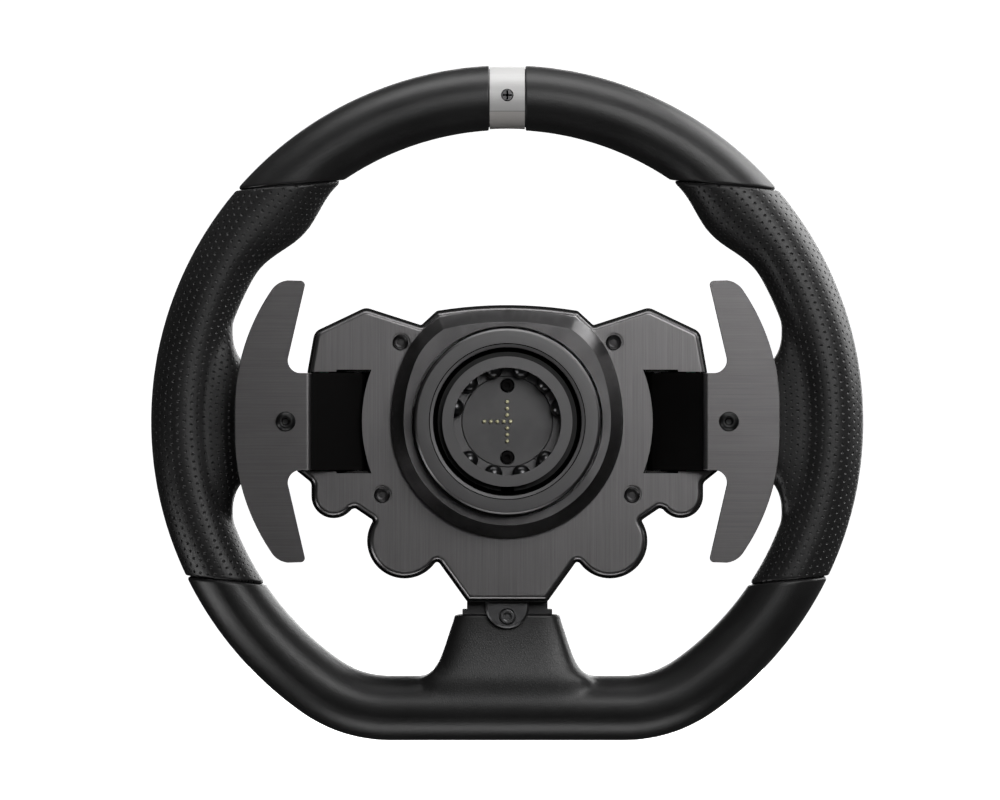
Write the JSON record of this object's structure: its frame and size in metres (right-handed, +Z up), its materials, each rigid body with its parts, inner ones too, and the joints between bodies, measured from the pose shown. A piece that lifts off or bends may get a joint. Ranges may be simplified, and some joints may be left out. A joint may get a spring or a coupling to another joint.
{
  "type": "racing wheel",
  "caption": "D-shaped sim-racing wheel with leather grips, a button box, rocking shift paddles and a ball-lock quick release with spring contacts on its back.",
  "frame": {"origin": "on the steering axis, at the rear rim of the quick-release socket", "axes": "+Y along the steering axis towards the driver, +Z up with the flat of the rim at the bottom, +X to the right as seen from behind the wheel"},
  "size_m": [0.28, 0.0618, 0.2651],
  "materials": {
    "core_metal": "cast",
    "foam": "matt",
    "smooth_leather": "satin",
    "perforated_leather": "satin, perforated",
    "band_metal": "brushed",
    "black_steel": "satin",
    "bare_steel": "ground",
    "ball_steel": "polished",
    "collar_plastic": "matt",
    "tab_metal": "satin",
    "shell_plastic": "fine texture",
    "plate_metal": "brushed, anodised",
    "dome_metal": "fine bead-blasted",
    "socket_metal": "turned, anodised",
    "sleeve_metal": "turned, anodised",
    "carrier_metal": "turned",
    "contact_plastic": "moulded",
    "contact_gold": "plated",
    "circuit_board": "solder mask",
    "switch_plastic": "moulded",
    "fascia_metal": "brushed, anodised",
    "badge_plastic": "gloss",
    "lens_plastic": "smoked",
    "button_red": "satin",
    "button_blue": "satin",
    "button_green": "satin",
    "button_yellow": "satin",
    "button_black": "satin",
    "button_white": "satin",
    "stick_rubber": "matt",
    "gimbal_plastic": "moulded",
    "wing_metal": "brushed, anodised",
    "lever_metal": "powder coated",
    "magnet_metal": "plated"
  },
  "bodies": {
    "wheel": {"rim_core": "core_metal", "rim_foam": "foam", "upper_left_leather": "smooth_leather", "upper_right_leather": "smooth_leather", "left_grip_leather": "perforated_leather", "right_grip_leather": "perforated_leather", "lower_leather": "smooth_leather", "top_band_rear": "band_metal", "top_band_front": "band_metal", "top_band_screw": "black_steel", "lower_spoke_collar": "collar_plastic", "lower_spoke_tab": "tab_metal", "lower_spoke_screw": "black_steel", "front_shell": "shell_plastic", "rear_plate": "plate_metal", "rear_plate_screws": "black_steel", "hub_dome": "dome_metal", "quick_release_socket": "socket_metal", "locking_balls": "ball_steel", "sleeve_circlip": "black_steel", "sleeve_spring": "black_steel", "hub_carrier": "carrier_metal", "hub_screws": "black_steel", "contact_block": "contact_plastic", "contact_block_screws": "black_steel", "main_board": "circuit_board", "button_switches": "switch_plastic", "front_fascia": "fascia_metal", "front_fascia_screws": "black_steel", "centre_badge": "badge_plastic", "shift_light_lens": "lens_plastic", "stick_cups": "switch_plastic", "paddle_brackets": "black_steel", "paddle_pivot_pins": "bare_steel", "paddle_magnets": "magnet_metal"},
    "release_sleeve": {"release_sleeve": "sleeve_metal"},
    "contact_pins": {"contact_pins": "contact_gold"},
    "left_paddle": {"left_paddle_wing": "wing_metal", "left_paddle_lever": "lever_metal", "left_paddle_screw": "black_steel"},
    "left_gimbal": {"left_stick_gimbal": "gimbal_plastic"},
    "left_stick": {"left_thumb_stick": "stick_rubber"},
    "left_upper_inner_button": {"left_upper_inner_button": "button_red"},
    "left_upper_outer_button": {"left_upper_outer_button": "button_yellow"},
    "left_lower_inner_button": {"left_lower_inner_button": "button_black"},
    "left_lower_outer_button": {"left_lower_outer_button": "button_white"},
    "left_lobe_button": {"left_lobe_button": "button_green"},
    "right_paddle": {"right_paddle_wing": "wing_metal", "right_paddle_lever": "lever_metal", "right_paddle_screw": "black_steel"},
    "right_gimbal": {"right_stick_gimbal": "gimbal_plastic"},
    "right_stick": {"right_thumb_stick": "stick_rubber"},
    "right_upper_inner_button": {"right_upper_inner_button": "button_blue"},
    "right_upper_outer_button": {"right_upper_outer_button": "button_yellow"},
    "right_lower_inner_button": {"right_lower_inner_button": "button_black"},
    "right_lower_outer_button": {"right_lower_outer_button": "button_white"},
    "right_lobe_button": {"right_lobe_button": "button_red"}
  },
  "joints": [
    {"name": "release_sleeve_slide", "type": "slide", "parent": "wheel", "child": "release_sleeve", "axis": [0, 1, 0], "range_m": [0, 0.005], "stiffness_N_per_m": 1500, "springref_m": -0.005, "deforming": ["sleeve_spring"]},
    {"name": "contact_pins_slide", "type": "slide", "parent": "wheel", "child": "contact_pins", "axis": [0, 1, 0], "range_m": [0, 0.001], "stiffness_N_per_m": 500, "springref_m": -0.0006},
    {"name": "left_paddle_pull", "type": "hinge", "parent": "wheel", "child": "left_paddle", "pos_m": [-0.0586, 0.0326, 0], "axis": [0, 0, -1], "range_deg": [0, 6], "stiffness_Nm_per_rad": 1.5, "springref_deg": -3.44},
    {"name": "left_stick_up_down", "type": "hinge", "parent": "wheel", "child": "left_gimbal", "pos_m": [-0.0402, 0.051, -0.0468], "axis": [1, 0, 0], "range_deg": [-10, 10], "stiffness_Nm_per_rad": 0.02},
    {"name": "left_stick_left_right", "type": "hinge", "parent": "left_gimbal", "child": "left_stick", "pos_m": [-0.0402, 0.051, -0.0468], "axis": [0, 0, 1], "range_deg": [-10, 10], "stiffness_Nm_per_rad": 0.02},
    {"name": "left_upper_inner_button_press", "type": "slide", "parent": "wheel", "child": "left_upper_inner_button", "axis": [0, -1, 0], "range_m": [0, 0.0011], "stiffness_N_per_m": 700, "springref_m": -0.0008},
    {"name": "left_upper_outer_button_press", "type": "slide", "parent": "wheel", "child": "left_upper_outer_button", "axis": [0, -1, 0], "range_m": [0, 0.0011], "stiffness_N_per_m": 700, "springref_m": -0.0008},
    {"name": "left_lower_inner_button_press", "type": "slide", "parent": "wheel", "child": "left_lower_inner_button", "axis": [0, -1, 0], "range_m": [0, 0.0011], "stiffness_N_per_m": 700, "springref_m": -0.0008},
    {"name": "left_lower_outer_button_press", "type": "slide", "parent": "wheel", "child": "left_lower_outer_button", "axis": [0, -1, 0], "range_m": [0, 0.0011], "stiffness_N_per_m": 700, "springref_m": -0.0008},
    {"name": "left_lobe_button_press", "type": "slide", "parent": "wheel", "child": "left_lobe_button", "axis": [0, -1, 0], "range_m": [0, 0.0011], "stiffness_N_per_m": 700, "springref_m": -0.0008},
    {"name": "right_paddle_pull", "type": "hinge", "parent": "wheel", "child": "right_paddle", "pos_m": [0.0586, 0.0326, 0], "axis": [0, 0, 1], "range_deg": [0, 6], "stiffness_Nm_per_rad": 1.5, "springref_deg": -3.44},
    {"name": "right_stick_up_down", "type": "hinge", "parent": "wheel", "child": "right_gimbal", "pos_m": [0.0402, 0.051, -0.0468], "axis": [1, 0, 0], "range_deg": [-10, 10], "stiffness_Nm_per_rad": 0.02},
    {"name": "right_stick_left_right", "type": "hinge", "parent": "right_gimbal", "child": "right_stick", "pos_m": [0.0402, 0.051, -0.0468], "axis": [0, 0, 1], "range_deg": [-10, 10], "stiffness_Nm_per_rad": 0.02},
    {"name": "right_upper_inner_button_press", "type": "slide", "parent": "wheel", "child": "right_upper_inner_button", "axis": [0, -1, 0], "range_m": [0, 0.0011], "stiffness_N_per_m": 700, "springref_m": -0.0008},
    {"name": "right_upper_outer_button_press", "type": "slide", "parent": "wheel", "child": "right_upper_outer_button", "axis": [0, -1, 0], "range_m": [0, 0.0011], "stiffness_N_per_m": 700, "springref_m": -0.0008},
    {"name": "right_lower_inner_button_press", "type": "slide", "parent": "wheel", "child": "right_lower_inner_button", "axis": [0, -1, 0], "range_m": [0, 0.0011], "stiffness_N_per_m": 700, "springref_m": -0.0008},
    {"name": "right_lower_outer_button_press", "type": "slide", "parent": "wheel", "child": "right_lower_outer_button", "axis": [0, -1, 0], "range_m": [0, 0.0011], "stiffness_N_per_m": 700, "springref_m": -0.0008},
    {"name": "right_lobe_button_press", "type": "slide", "parent": "wheel", "child": "right_lobe_button", "axis": [0, -1, 0], "range_m": [0, 0.0011], "stiffness_N_per_m": 700, "springref_m": -0.0008}
  ]
}
